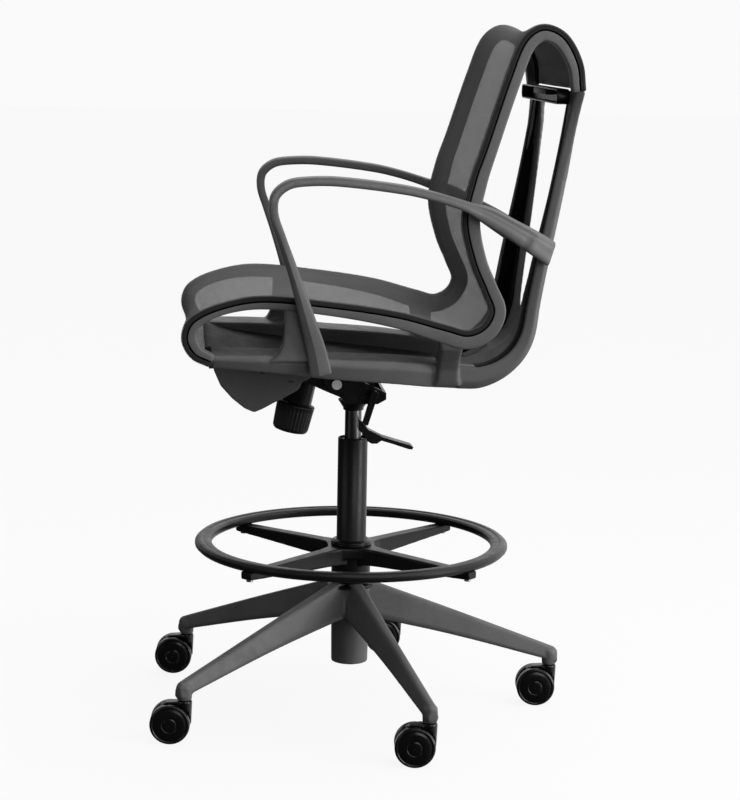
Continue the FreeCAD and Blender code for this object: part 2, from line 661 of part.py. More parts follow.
def arm():
    """A ribbon swept along the arm's line, turning from flat at the rest to upright at its foot."""
    sections = []
    rows = smooth_rows(ARM_LINE, ARM_STEPS)
    for i, (y, z, x, wide, thick) in enumerate(rows):
        before = rows[max(i - 1, 0)]
        after = rows[min(i + 1, ARM_STEPS)]
        run = vec(0, after[0] - before[0], after[1] - before[1]).normalize()
        up = X_AXIS.cross(run)
        here = vec(x, y, z)
        sections.append([here + X_AXIS * (sx * wide / 2) + up * (sz * thick / 2)
                         for sx, sz in ((-1, -1), (1, -1), (1, 1), (-1, 1))])
    return ruled(sections)


def make_arms():
    fixed_to = side_rail(rail_line()).fuse(front_post())
    save_pair("arm", max(arm().cut(fixed_to).Solids, key=lambda solid: solid.Volume))


def main():
    os.makedirs("parts", exist_ok=True)
    make_base()
    make_casters()
    make_lift()
    make_foot_ring()
    make_mechanism()
    make_seat()
    make_frame()
    make_undercarriage()
    make_arms()


main()
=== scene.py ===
import math

import bmesh
import bpy
import numpy as np
from mathutils import Matrix, Vector


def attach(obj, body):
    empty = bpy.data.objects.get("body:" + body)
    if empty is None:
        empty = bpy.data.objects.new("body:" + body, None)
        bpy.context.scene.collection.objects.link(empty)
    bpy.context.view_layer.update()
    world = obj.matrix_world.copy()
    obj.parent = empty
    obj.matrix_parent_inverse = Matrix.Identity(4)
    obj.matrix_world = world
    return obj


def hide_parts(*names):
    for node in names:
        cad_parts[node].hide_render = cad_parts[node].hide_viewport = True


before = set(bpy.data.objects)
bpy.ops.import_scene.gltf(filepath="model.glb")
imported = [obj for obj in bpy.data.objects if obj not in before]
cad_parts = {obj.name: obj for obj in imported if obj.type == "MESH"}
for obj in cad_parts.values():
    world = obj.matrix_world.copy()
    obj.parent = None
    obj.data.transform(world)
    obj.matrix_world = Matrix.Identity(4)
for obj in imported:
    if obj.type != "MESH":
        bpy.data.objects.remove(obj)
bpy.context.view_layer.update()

# Drafting chair. Lengths in the tables below are millimetres in the row frame: Z up, the sitter faces -Y,
# the sitter's left is +X, origin on the floor under the column. MM turns them into metres.
MM = 0.001

# ---------------------------------------------------------------- the CAD part's lines, repeated here
SIDE_X = 250.0
SIDE_LEVEL = 663.0
SIDE_TAPER = 0.03
RAIL_WIDTH = 24.0
GROOVE = 1.2
GASKET = 8.0
SHEET = 9.0                     # middle of the mesh above the side line
RAIL_LINE = [                   # Y, Z, depth of the rail behind the line
    (-243, 628, 11), (-268, 640, 14), (-280, 664, 15), (-270, 689, 12), (-228, 710, 10),
    (-165, 722, 12), (-60, 714, 13), (47, 699, 17), (128, 678, 21), (160, 671, 21),
    (187, 684, 20), (199, 710, 19), (188, 740, 18), (168, 787, 18), (154, 850, 20),
    (165, 911, 19), (182, 962, 17), (219, 1077, 17), (240, 1128, 17), (266, 1146, 17),
    (297, 1134, 16), (320, 1095, 14), (326, 1054, 12),
]
BEAM_SECTIONS = [               # Y, inner X, outer X, underside, top
    (-243, 152, 247, 617.3, 638), (-140, 152, 243, 607.5, 637), (-40, 142, 232, 598, 630),
    (60, 130, 215, 588.5, 625), (152, 118, 188, 576.5, 615),
]
FRONT_POST = [                  # inner X, outer X, front Y, rear Y, height
    (206, 246, -150, -78, 628), (210, 246, -138, -82, 640), (214, 247, -131, -86, 654),
    (218, 247, -129, -88, 680), (222, 247, -128, -88, 712),
]
REAR_POST = [
    (150, 196, 113, 156, 584), (150, 201, 116, 152, 594), (150, 207, 117, 151, 611),
    (172, 224, 117, 151, 630), (205, 246, 116, 152, 648), (222, 250, 113, 154, 664),
]
SPINE_HALF = 188.0
SPINE_LINE = [                  # Y, Z of the rear face, thickness
    (152, 576.5, 38), (190, 578, 36), (228, 595, 31), (258, 624, 27), (275, 660, 24.5),
    (283, 715, 22.5), (292, 768, 22), (313, 881, 20.5), (326, 960, 19.5), (338, 1045, 18.5),
]
WINDOW = [                      # height, half width of the opening between the struts
    (688, 0), (698, 10), (763, 36), (829, 64), (894, 96), (961, 122), (995, 132), (1020, 150),
]
PANEL = [                       # height, half width of the raised middle of the rear panel
    (570, 115), (600, 110), (630, 101), (660, 88),
]
MIDDLE_TOP = 640                # the raised middle fades out here
WEB = [                         # height, thickness of the web beside a strut
    (570, 5), (650, 4), (700, 3), (870, 3), (900, 3.5), (995, 8), (1032, 10),
]
WEB_TOP = WEB[-1][0]
SOLE = [                        # height, how far in the black painted-shade sheet reaches over the web
    (595, 140), (640, 92), (700, 76), (763, 98), (829, 126), (890, 156), (1050, 170),
]
INNER = [                       # height, X of a strut's inner side
    (570, 152), (660, 143), (721, 140), (774, 145), (832, 152), (880, 158), (985, 163), (1050, 163),
]
ARM_LINE = [                    # Y, Z, X of the ribbon's middle, width across, thickness
    (-71, 609, 247, 15, 34), (-79, 646, 251, 16, 31), (-92, 690, 259, 18, 25), (-107, 739, 266, 23, 20),
    (-123, 786, 272, 29, 16), (-138, 828, 278, 34, 14), (-149, 862, 281, 36, 13.5),
    (-147, 889, 282, 37, 13.5), (-128, 906, 282, 38, 13.5), (-100, 911.5, 282, 38, 13.5),
    (-50, 912, 282, 38, 14), (49, 901, 280, 38, 14), (100, 890, 276, 37, 14), (149, 875, 269, 36, 16),
    (172, 866, 263, 34, 24), (190, 857.5, 254, 33, 29), (229, 836, 233, 30, 32), (264, 815.5, 213, 26, 37),
    (293, 797, 200.5, 22, 38.5),
]
SPOKE_SECTIONS = [              # radius, underside, top, half width
    (20, 250, 281, 17), (44, 252, 281, 15.5), (62, 253, 280.6, 12.5), (110, 255, 279.8, 11.5),
    (190, 259.5, 278, 11), (236, 262, 277, 11), (259, 263.5, 276.9, 11), (261, 264.5, 276, 10),
]
LEG_SECTIONS = [                # radius, underside, top, width below, width above
    (20, 161, 222, 46, 24), (174, 125, 167, 33, 15), (331, 82, 108, 24, 12), (354, 75, 99, 22, 12),
]
COVER_OUTLINE = [
    (-237, 604), (-236, 591), (-225, 566), (-206, 545), (-186, 529), (-170, 522), (-156, 528), (-135, 539.5),
    (-114, 550.5), (-98, 560), (-92, 573), (-79, 579), (-79, 597),
]
LEGS = 5
LEG_PHASE = math.radians(17.4)
STEM_CIRCLE = 344.8
CASTER_SWING = math.radians(-4)
TRAIL = 22.9
WHEEL_R = 32.5
FORK_TOP = 68.9
KNOB_TOP = Vector((0, -96.5, 523.0))
KNOB_TILT = math.radians(12.5)
X_AXIS, Z_AXIS = Vector((1, 0, 0)), Vector((0, 0, 1))


# ---------------------------------------------------------------- mesh helpers
def add_object(name, data):
    """A new object in the scene."""
    obj = bpy.data.objects.new(name, data)
    bpy.context.scene.collection.objects.link(obj)
    return obj


def shade_smooth(mesh):
    mesh.polygons.foreach_set("use_smooth", [True] * len(mesh.polygons))


def make_object(name, verts, faces, material=None):
    """A smooth-shaded mesh object from points in millimetres."""
    mesh = bpy.data.meshes.new(name)
    mesh.from_pydata([tuple(c * MM for c in v) for v in verts], [], faces)
    mesh.validate()
    shade_smooth(mesh)
    if material:
        mesh.materials.append(material)
    return add_object(name, mesh)


def paint(obj, material):
    """Give the whole object one material."""
    obj.data.materials.clear()
    obj.data.materials.append(material)
    return obj


def skin(name, rings, material=None):
    """Join closed rings of equal length with quads, and cap both ends."""
    size = len(rings[0])
    verts = [p for ring in rings for p in ring]
    faces = []
    for i in range(len(rings) - 1):
        for j in range(size):
            k = (j + 1) % size
            faces.append((i * size + j, i * size + k, (i + 1) * size + k, (i + 1) * size + j))
    last = (len(rings) - 1) * size
    faces += [tuple(reversed(range(size))), tuple(range(last, last + size))]
    obj = make_object(name, verts, faces, material)
    tidy_normals(obj)
    return obj


def tidy_normals(obj):
    """Point every face outwards."""
    work = bmesh.new()
    work.from_mesh(obj.data)
    bmesh.ops.recalc_face_normals(work, faces=work.faces)
    work.to_mesh(obj.data)
    work.free()


def smooth_rows(rows, count):
    """Even samples along the smooth curve through rows of numbers that start with a place."""
    rows = np.array(rows, float)
    steps = np.linalg.norm(np.diff(rows[:, :2], axis=0), axis=1)
    lengths = np.concatenate([[0], np.cumsum(steps)])
    lo = np.maximum(np.arange(len(rows)) - 1, 0)
    hi = np.minimum(np.arange(len(rows)) + 1, len(rows) - 1)
    slopes = (rows[hi] - rows[lo]) / (lengths[hi] - lengths[lo])[:, None]
    s = np.linspace(0, lengths[-1], count + 1)
    k = np.clip(np.searchsorted(lengths, s, side="right") - 1, 0, len(rows) - 2)
    h = (lengths[k + 1] - lengths[k])[:, None]
    t = ((s - lengths[k]) / h[:, 0])[:, None]
    out = (2 * t**3 - 3 * t**2 + 1) * rows[k] + (t**3 - 2 * t**2 + t) * h * slopes[k]
    out += (-2 * t**3 + 3 * t**2) * rows[k + 1] + (t**3 - t**2) * h * slopes[k + 1]
    return out


def normals_of(line):
    """Unit left normals of a line of (y, z) samples."""
    run = np.gradient(line[:, :2], axis=0)
    run /= np.linalg.norm(run, axis=1)[:, None]
    return np.stack([-run[:, 1], run[:, 0]], 1)


def corner_arc(before, here, after, radius, steps):
    """Points along the curve that rounds one corner of an outline."""
    here = Vector(here)
    back, on = Vector(before) - here, Vector(after) - here
    turn = math.pi - back.angle(on)
    reach = min(radius * math.tan(turn / 2), 0.49 * back.length, 0.49 * on.length)
    a, b = here + back.normalized() * reach, here + on.normalized() * reach
    shares = [n / steps for n in range(steps + 1)]
    return [tuple((1 - t) ** 2 * a + 2 * t * (1 - t) * here + t**2 * b) for t in shares]


def rounded(points, radii, steps=4):
    """A closed outline with each corner turned into an arc; radii is one radius or one for each corner."""
    if not hasattr(radii, "__len__"):
        radii = [radii] * len(points)
    out = []
    for i, radius in enumerate(radii):
        out += corner_arc(points[i - 1], points[i], points[(i + 1) % len(points)], radius, steps)
    return out


def soft_profile(points, radius=1.0, steps=3):
    """An open profile with its inner corners turned into arcs."""
    out = [points[0]]
    for before, here, after in zip(points, points[1:], points[2:]):
        out += corner_arc(before, here, after, radius, steps)
    return out + [points[-1]]


def rectangle(x, y):
    """The corners of the rectangle between the two values of x and y."""
    return [(x[0], y[0]), (x[1], y[0]), (x[1], y[1]), (x[0], y[1])]


def rounded_box(x, y, radius, steps=4):
    return rounded(rectangle(x, y), radius, steps)


def block(name, x, y, z, radius=2.0):
    """A box with rounded edges between the two values of x, y and z."""
    return bevel(skin(name, [[(px, py, pz) for px, py in rectangle(x, y)] for pz in z]), radius)


def apply_modifiers(obj):
    """Turn an object's modified shape into its own mesh."""
    bpy.context.view_layer.update()
    depsgraph = bpy.context.evaluated_depsgraph_get()
    mesh = bpy.data.meshes.new_from_object(obj.evaluated_get(depsgraph))
    old = obj.data
    obj.modifiers.clear()
    obj.data = mesh
    bpy.data.meshes.remove(old)
    shade_smooth(mesh)
    return obj


def bevel(obj, width, segments=3, angle=35):
    mod = obj.modifiers.new("bevel", "BEVEL")
    mod.width = width * MM
    mod.segments = segments
    mod.limit_method = "ANGLE"
    mod.angle_limit = math.radians(angle)
    return apply_modifiers(obj)


def remove(obj):
    """Delete an object with its mesh."""
    mesh = obj.data
    bpy.data.objects.remove(obj)
    bpy.data.meshes.remove(mesh)


def join(name, objects):
    """One object that holds all the given meshes."""
    work = bmesh.new()
    for obj in objects:
        copy = obj.data.copy()
        copy.transform(obj.matrix_world)
        work.from_mesh(copy)
        bpy.data.meshes.remove(copy)
    mesh = bpy.data.meshes.new(name)
    work.to_mesh(mesh)
    work.free()
    shade_smooth(mesh)
    for obj in objects:
        remove(obj)
    return add_object(name, mesh)


def moulding(name, objects, voxel, soften=4, keep=0.35):
    """Melt closed shells into one moulded piece: union by voxels, edges softened, then thinned."""
    obj = join(name, objects)
    remesh = obj.modifiers.new("remesh", "REMESH")
    remesh.mode = "VOXEL"
    remesh.voxel_size = voxel * MM
    smooth = obj.modifiers.new("smooth", "SMOOTH")
    smooth.factor = 0.5
    smooth.iterations = soften
    thin = obj.modifiers.new("thin", "DECIMATE")
    thin.ratio = keep
    return apply_modifiers(obj)


def lathe(name, profile, base=(0, 0, 0), axis=Z_AXIS, segments=96, material=None, side=None, dent=None):
    """Revolve a profile of (distance along the axis, radius); it closes on the axis or on itself.

    With dent, a row's third number is the share of dent(n) that comes off the radius at segment n.
    """
    axis = Vector(axis).normalized()
    if side is None:
        side = axis.cross(Z_AXIS if abs(axis.z) < 0.9 else X_AXIS).normalized()
    other = axis.cross(side)
    verts, faces, rings = [], [], []
    for row in profile:
        middle = Vector(base) + axis * row[0]
        if row[1] < 1e-6:
            rings.append([len(verts)])
            verts.append(tuple(middle))
            continue
        rings.append(list(range(len(verts), len(verts) + segments)))
        for n in range(segments):
            a = 2 * math.pi * n / segments
            r = row[1] - (row[2] * dent(n) if dent else 0)
            verts.append(tuple(middle + (side * math.cos(a) + other * math.sin(a)) * r))
    pairs = list(zip(rings, rings[1:]))
    if len(rings[0]) > 1 and len(rings[-1]) > 1:
        pairs.append((rings[-1], rings[0]))
    for a, b in pairs:
        for n in range(segments):
            m = (n + 1) % segments
            if len(a) == 1 and len(b) == 1:
                break
            if len(a) == 1:
                faces.append((a[0], b[n], b[m]))
            elif len(b) == 1:
                faces.append((a[n], b[0], a[m]))
            else:
                faces.append((a[n], b[n], b[m], a[m]))
    obj = make_object(name, verts, faces, material)
    tidy_normals(obj)
    return obj


def place(obj, body, nodes=()):
    """Ride on a CAD body and stand for CAD nodes."""
    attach(obj, body)
    if nodes:
        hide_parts(*nodes)


def place_pair(left, slot, *nodes):
    """Place a left piece of the seat and its mirror copy, whose name and nodes say right instead of left."""
    mesh = left.data.copy()
    mesh.transform(Matrix.Scale(-1, 4, X_AXIS))
    mesh.flip_normals()
    right = add_object(left.name.replace("left", "right"), mesh)
    place(left, "seat", nodes)
    place(right, "seat", [node.replace("left", "right") for node in nodes])


def end_rings(rings, grow, reach):
    """The rings with a smaller one a little beyond each end, which rounds the end off."""
    caps = []
    for end, inner, share in ((0, 1, grow[0]), (-1, -2, grow[1])):
        middle = np.mean(rings[end], axis=0)
        outwards = middle - np.mean(rings[inner], axis=0)
        outwards *= reach / np.linalg.norm(outwards)
        caps.append([tuple(middle + (np.array(p) - middle) * share + outwards) for p in rings[end]])
    return [caps[0]] + rings + [caps[1]]


# ---------------------------------------------------------------- materials
class Nodes:
    """A material's node tree with short calls for the nodes that every finish needs."""

    def __init__(self, name):
        self.material = bpy.data.materials.new(name)
        self.material.use_nodes = True
        self.tree = self.material.node_tree
        self.shader = self.tree.nodes["Principled BSDF"]
        self.place = self.tree.nodes.new("ShaderNodeTexCoord").outputs["Object"]

    def link(self, output, target):
        self.tree.links.new(output, target)

    def stretched(self, scale, source=None):
        node = self.tree.nodes.new("ShaderNodeMapping")
        node.inputs["Scale"].default_value = scale
        self.link(source or self.place, node.inputs["Vector"])
        return node.outputs["Vector"]

    def noise(self, scale, detail=2.0, source=None):
        node = self.tree.nodes.new("ShaderNodeTexNoise")
        node.inputs["Scale"].default_value = scale
        node.inputs["Detail"].default_value = detail
        self.link(source or self.place, node.inputs["Vector"])
        return node.outputs["Fac"]

    def remap(self, output, low, high, to_low, to_high):
        node = self.tree.nodes.new("ShaderNodeMapRange")
        for key, value in (("From Min", low), ("From Max", high), ("To Min", to_low), ("To Max", to_high)):
            node.inputs[key].default_value = value
        self.link(output, node.inputs["Value"])
        return node.outputs["Result"]

    def math(self, kind, a, b=0.0):
        node = self.tree.nodes.new("ShaderNodeMath")
        node.operation = kind
        for socket, value in zip(node.inputs, (a, b)):
            if isinstance(value, (int, float)):
                socket.default_value = value
            else:
                self.link(value, socket)
        return node.outputs["Value"]

    def shade(self, factor, dark, light):
        """A grey between two linear levels."""
        node = self.tree.nodes.new("ShaderNodeMix")
        node.data_type = "RGBA"
        node.inputs["A"].default_value = (dark, dark, dark * 1.01, 1)
        node.inputs["B"].default_value = (light, light, light * 1.01, 1)
        self.link(factor, node.inputs["Factor"])
        return node.outputs["Result"]

    def bump(self, height, distance, strength=1.0, below=None):
        node = self.tree.nodes.new("ShaderNodeBump")
        node.inputs["Distance"].default_value = distance
        node.inputs["Strength"].default_value = strength
        self.link(height, node.inputs["Height"])
        if below:
            self.link(below, node.inputs["Normal"])
        return node.outputs["Normal"]

    def wear(self):
        """Near 1 on outer edges, 0 elsewhere."""
        node = self.tree.nodes.new("ShaderNodeNewGeometry")
        return self.remap(node.outputs["Pointiness"], 0.51, 0.58, 0.0, 1.0)

    def set(self, **values):
        for key, value in values.items():
            self.shader.inputs[key.replace("_", " ")].default_value = value


def plastic(name, level, rough=0.45, grain=0.00006, spec=0.4, edge=0.25):
    """Moulded plastic: fine grain, cloudy colour, uneven gloss and paler rubbed edges."""
    n = Nodes(name)
    cloud = n.noise(14, 3)
    mottle = n.noise(160, 2)
    mixed = n.math("MULTIPLY_ADD", mottle, 0.35)
    n.link(cloud, mixed.node.inputs[2])
    rubbed = n.math("MULTIPLY", n.wear(), edge)
    factor = n.math("ADD", n.remap(mixed, 0.45, 0.95, 0.0, 0.75), rubbed)
    n.link(n.shade(factor, level * 0.86, level * 1.22), n.shader.inputs["Base Color"])
    n.link(n.remap(n.noise(45, 4), 0.3, 0.7, rough - 0.05, rough + 0.07), n.shader.inputs["Roughness"])
    fine = n.bump(n.noise(2600, 2), grain, 0.6)
    n.link(n.bump(n.noise(350, 2), grain * 1.6, 0.35, fine), n.shader.inputs["Normal"])
    n.set(Specular_IOR_Level=spec)
    return n.material


def metal(name, level, rough, stretch=(1.0, 1.0, 0.02)):
    """Turned or drawn metal with fine lines, faint stains and uneven polish."""
    n = Nodes(name)
    lines = n.noise(1500, 3, n.stretched(stretch))
    stain = n.noise(22, 4)
    factor = n.math("MULTIPLY", lines, stain)
    n.link(n.shade(factor, level * 0.75, level * 1.5), n.shader.inputs["Base Color"])
    n.link(n.remap(stain, 0.3, 0.7, rough - 0.05, rough + 0.09), n.shader.inputs["Roughness"])
    n.link(n.bump(lines, 0.00002, 0.5), n.shader.inputs["Normal"])
    n.set(Metallic=1.0)
    return n.material


def powder(name, level, rough, spec):
    """Powder-coated steel: a fine orange peel over satin black."""
    n = Nodes(name)
    cloud = n.noise(18, 3)
    factor = n.math("ADD", cloud, n.math("MULTIPLY", n.wear(), 0.4))
    n.link(n.shade(factor, level * 0.8, level * 1.3), n.shader.inputs["Base Color"])
    n.link(n.remap(n.noise(60, 3), 0.3, 0.7, rough - 0.05, rough + 0.06), n.shader.inputs["Roughness"])
    n.link(n.bump(n.noise(1100, 2), 0.00008, 0.6), n.shader.inputs["Normal"])
    n.set(Specular_IOR_Level=spec)
    return n.material


HOLE_LIMIT = 0.54              # the mesh is open where its fine pattern rises above this


def mesh_fabric(name, level):
    """Knitted elastic mesh: small irregular holes between heathered yarns."""
    n = Nodes(name)
    uv = n.tree.nodes.new("ShaderNodeUVMap")
    uv.uv_map = "cloth"
    weave = n.noise(1150, 1, uv.outputs["UV"])
    slub = n.noise(1.0, 2, n.stretched((150.0, 800.0, 1.0), uv.outputs["UV"]))
    fleck = n.noise(1.0, 2, n.stretched((420.0, 1500.0, 1.0), uv.outputs["UV"]))
    cloud = n.noise(9, 2, uv.outputs["UV"])
    heather = n.math("MULTIPLY_ADD", slub, 0.6)
    n.link(n.math("MULTIPLY", fleck, 0.4), heather.node.inputs[2])
    apart = n.tree.nodes.new("ShaderNodeSeparateXYZ")
    n.link(uv.outputs["UV"], apart.inputs["Vector"])
    hem = n.remap(apart.outputs["Y"], 1.04, 1.1, 0.0, 0.07)
    limit = n.math("ADD", hem, n.remap(heather, 0.35, 0.65, HOLE_LIMIT + 0.05, HOLE_LIMIT - 0.05))
    hole = n.math("GREATER_THAN", weave, limit)
    n.link(n.math("SUBTRACT", 1.0, hole), n.shader.inputs["Alpha"])
    factor = n.math("ADD", n.remap(heather, 0.36, 0.64, 0.0, 0.85), n.remap(cloud, 0.3, 0.7, 0.0, 0.15))
    n.link(n.shade(factor, level * 0.55, level * 1.6), n.shader.inputs["Base Color"])
    n.link(n.remap(heather, 0.3, 0.7, 0.7, 0.9), n.shader.inputs["Roughness"])
    n.link(n.bump(n.math("ADD", weave, heather), 0.0002, 0.5), n.shader.inputs["Normal"])
    n.set(Specular_IOR_Level=0.1)
    return n.material


FRAME_GREY = plastic("frame_plastic", 0.094, rough=0.46)
BASE_GREY = plastic("base_plastic", 0.08, rough=0.48)
COVER_GREY = plastic("cover_plastic", 0.072, rough=0.5)
# Much darker than the cover plastic: this grey paints the shade that falls on the pan under the seat.
PAN_SHADE_GREY = plastic("pan_plastic", 0.018, rough=0.55, spec=0.25)
TRIM_BLACK = plastic("edge_trim", 0.014, rough=0.55, spec=0.2, edge=0.1)
# Near-black and matt: paints the shadow line at the bottom of the rail's groove.
GROOVE_SHADE_BLACK = plastic("groove_black", 0.001, rough=0.9, spec=0.02, edge=0.0)
GLOSS_BLACK = plastic("black_plastic", 0.004, rough=0.28, spec=0.25, edge=0.05)
KNOB_BLACK = plastic("knob_plastic", 0.007, rough=0.42, spec=0.3, edge=0.1)
CASTER_BLACK = plastic("caster_plastic", 0.003, rough=0.2, grain=0.00003, spec=0.32, edge=0.03)
SATIN_BLACK = powder("black_metal", 0.005, rough=0.34, spec=0.2)
BRIGHT_STEEL = metal("steel", 0.55, 0.25)
# Near-black sheets over the struts' front and inner sides and the elbow channel paint the shade there.
STRUT_SHADE_BLACK = plastic("strut_liner", 0.003, rough=0.6, spec=0.1, edge=0.05)
GREY_STEEL = metal("cylinder_steel", 0.07, 0.3)
# Near-white: paints the bright glint on the end of the pivot pin, a painted highlight.
PIN_HIGHLIGHT_WHITE = plastic("pin_cap", 0.85, rough=0.5, edge=0.1)
SPRING_STEEL = metal("spring_steel", 0.3, 0.35, stretch=(1.0, 1.0, 1.0))
MESH_GREY = mesh_fabric("mesh_fabric", 0.105)


# ---------------------------------------------------------------- sweeps along the side line
SIDE_COUNT = 260


def side_line(count):
    """Samples of the rail line with their left normals: y, z, depth, ny, nz."""
    rows = smooth_rows(RAIL_LINE, count)
    return np.hstack([rows, normals_of(rows)])


def leaned(x, z):
    """X at height z of what stands at X on the level of the side line: both sides lean in with height."""
    return x - SIDE_TAPER * (z - SIDE_LEVEL) * (1 if x > 0 else -1)


def sweep_side(name, section, material, ends=1.5):
    """Sweep section(depth, share of the way) = [(x, offset)...] along the rail line on the +X side."""
    rings = []
    for i, (y, z, depth, ny, nz) in enumerate(side_line(SIDE_COUNT)):
        ring = []
        for x, d in section(depth, i / SIDE_COUNT):
            py, pz = y + ny * d, z + nz * d
            ring.append((leaned(x, pz), py, pz))
        rings.append(ring)
    return skin(name, end_rings(rings, (0.88, 0.88), ends), material)


def rail_section(depth, share):
    inner = SIDE_X - RAIL_WIDTH
    points = [(inner, -depth), (SIDE_X, -depth), (SIDE_X, -GROOVE - 0.2), (SIDE_X - 3, -GROOVE),
              (SIDE_X - 3, GROOVE), (inner, GROOVE)]
    return rounded(points, [3, 3.5, 0.9, 0.2, 0.2, 0.5], 4)


def groove_shade_section(depth, share):
    """Painted shade: a black strip at the bottom of the groove between rail and gasket stands in for the
    groove's shadow line.
    """
    return [(SIDE_X - 3.4, -GROOVE - 0.3), (SIDE_X - 1.1, -GROOVE - 0.3), (SIDE_X - 1.1, GROOVE + 0.3),
            (SIDE_X - 3.4, GROOVE + 0.3)]


def gasket_section(depth, share):
    inner = SIDE_X - RAIL_WIDTH + 2
    back = min(max((share - 0.5) / 0.06, 0), 1)
    line = 0.15 + 0.9 * back
    points = [(inner, GROOVE + 0.1), (SIDE_X - 0.2, GROOVE + 0.1), (SIDE_X - 0.2, 4.0),
              (SIDE_X - 0.3 - line, 4.5), (SIDE_X - 0.3, 5.0), (SIDE_X - 0.4, GASKET), (inner, GASKET)]
    return rounded(points, [0.4, 0.6, 0.2, 0.1, 0.2, 1.4, 0.6], 3)


def make_rails():
    rail = sweep_side("side_rail_shell_left", rail_section, FRAME_GREY)
    gasket = sweep_side("edge_gasket_strip_left", gasket_section, TRIM_BLACK)
    # A black strip in the groove paints its shadow line.
    shade_strip = sweep_side("groove_filler_left", groove_shade_section, GROOVE_SHADE_BLACK, ends=-1.0)
    place_pair(rail, "frame_plastic", "side_rail_left")
    place_pair(gasket, "edge_trim", "edge_gasket_left")
    place_pair(shade_strip, "edge_trim")


def make_hook_ends():
    """Small end stops where each gasket stops under the front edge."""
    left = block("hook_end_left", (SIDE_X - 22, SIDE_X + 0.4), (-246, -237.5), (617.5, 626.5), 1.0)
    place_pair(paint(left, TRIM_BLACK), "edge_trim")


# ---------------------------------------------------------------- the mesh sheet
SHEET_COUNT = 300
SHEET_COLUMNS = 56
CLOTH = 1.0                     # thickness of the mesh
SLACK = [                       # share of the way along, sag of the middle; below 0 it bridges the bend
    (0, 1), (0.03, 7), (0.06, 9), (0.11, 6.5), (0.17, 3), (0.3, 2), (0.41, 0), (0.47, -5), (0.53, 0),
    (0.6, 1.5), (0.75, 1.5), (0.84, 5), (0.89, 13), (0.93, 10), (0.97, 4), (1, 1),
]


def sheet_slack(count):
    """Evened-out slack at each sample along the sheet."""
    raw = np.interp(np.linspace(0, 1, count + 1), [row[0] for row in SLACK], [row[1] for row in SLACK])
    reach = count // 34
    return np.convolve(np.pad(raw, reach, "edge"), np.ones(2 * reach + 1) / (2 * reach + 1), "valid")


def sheet_offset(u, slack):
    """Height of the mesh above the side line: over the gaskets at the edges, a saddle between them."""
    middle = SHEET - slack * max(0.0, 1 - (u / 0.94) ** 2) ** 1.3
    if u > 0.985:
        middle -= 0.5 * ((u - 0.985) / 0.015) ** 2
    return middle


def make_mesh():
    """One closed sheet from under the front edge, over seat and back, to the hook at the top."""
    line = side_line(SHEET_COUNT)
    steps = np.linalg.norm(np.diff(line[:, :2], axis=0), axis=1)
    arc = np.concatenate([[0], np.cumsum(steps)])
    slack = sheet_slack(SHEET_COUNT)
    swing = math.pi / 2 * 0.92      # columns stand closer together near the edges
    us = np.sin(np.linspace(-1, 1, SHEET_COLUMNS + 1) * swing) / math.sin(swing)
    verts, uvs, faces = [], [], []
    for layer in (CLOTH / 2, -CLOTH / 2):
        for i, (y, z, depth, ny, nz) in enumerate(line):
            for u in us:
                d = sheet_offset(abs(u), slack[i]) + layer
                py, pz = y + ny * d, z + nz * d
                x = u * (leaned(SIDE_X, pz) - 0.9)
                verts.append((x, py, pz))
                uvs.append((x * MM, arc[i] * MM))
    wide = SHEET_COLUMNS + 1
    layer_size = (SHEET_COUNT + 1) * wide
    for i in range(SHEET_COUNT):
        for j in range(SHEET_COLUMNS):
            a = i * wide + j
            faces.append((a, a + 1, a + wide + 1, a + wide))
            b = a + layer_size
            faces.append((b, b + wide, b + wide + 1, b + 1))
    rim = list(range(wide))
    rim += [i * wide + SHEET_COLUMNS for i in range(1, SHEET_COUNT + 1)]
    rim += [SHEET_COUNT * wide + j for j in range(SHEET_COLUMNS - 1, -1, -1)]
    rim += [i * wide for i in range(SHEET_COUNT - 1, 0, -1)]
    for a, b in zip(rim, rim[1:] + rim[:1]):
        faces.append((b, a, a + layer_size, b + layer_size))
    obj = make_object("mesh_seat_and_back", verts, faces, MESH_GREY)
    tidy_normals(obj)
    layer = obj.data.uv_layers.new(name="cloth")
    for loop in obj.data.loops:
        layer.data[loop.index].uv = uvs[loop.vertex_index]
    place(obj, "seat", ["mesh_sheet"])


# ---------------------------------------------------------------- moulded frame
def band_ring(y, z, ny, nz, section):
    """A section of (x, distance from the rear face) at one sample of the spine."""
    return [(x, y + ny * d, z + nz * d) for x, d in section]


def strut_section(x0, x1, thick):
    """Six-sided section of a strut: a ridge runs down the middle of its outer and its inner side."""
    points = [(x0 + 5, 0), (x1 - 6, 0), (x1, 0.3 * thick), (x1 - 2.5, thick), (x0 + 4, thick),
              (x0, 0.5 * thick)]
    return rounded(points, [2.5, 3, 1.5, 2, 2, 2], 3)


def read_off(table, z):
    """The table's value at height z."""
    return float(np.interp(z, [row[0] for row in table], [row[1] for row in table]))


def make_spine(side):
    """One strut with its elbow, and the half of the rear panel beside it."""
    rows = smooth_rows(SPINE_LINE, 200)
    lefts = normals_of(rows)
    rim, web, middle = [], [], []
    for (y, z, thick), (ny, nz) in zip(rows, lefts):
        section = [(side * x, d) for x, d in strut_section(read_off(INNER, z), SPINE_HALF, thick)]
        rim.append(band_ring(y, z, ny, nz, section))
        start = read_off(WINDOW, z) if z > WINDOW[0][0] else -2.0
        if z < WEB_TOP:
            high = read_off(WEB, z)
            plate = [(start, 0.5), (165, 0.5), (165, high), (start, high)]
            web.append(band_ring(y, z, ny, nz, [(side * x, d) for x, d in plate]))
        if z < MIDDLE_TOP:
            edge = max(read_off(PANEL, z), start + 1)
            high = min(13, 4 + (MIDDLE_TOP - z) * 0.25)
            plate = [(start, 1.5), (edge + 3, 1.5), (edge, high), (start, high)]
            middle.append(band_ring(y, z, ny, nz, [(side * x, d) for x, d in plate]))
    return [skin("rim", rim), skin("web", web), skin("middle", middle)]


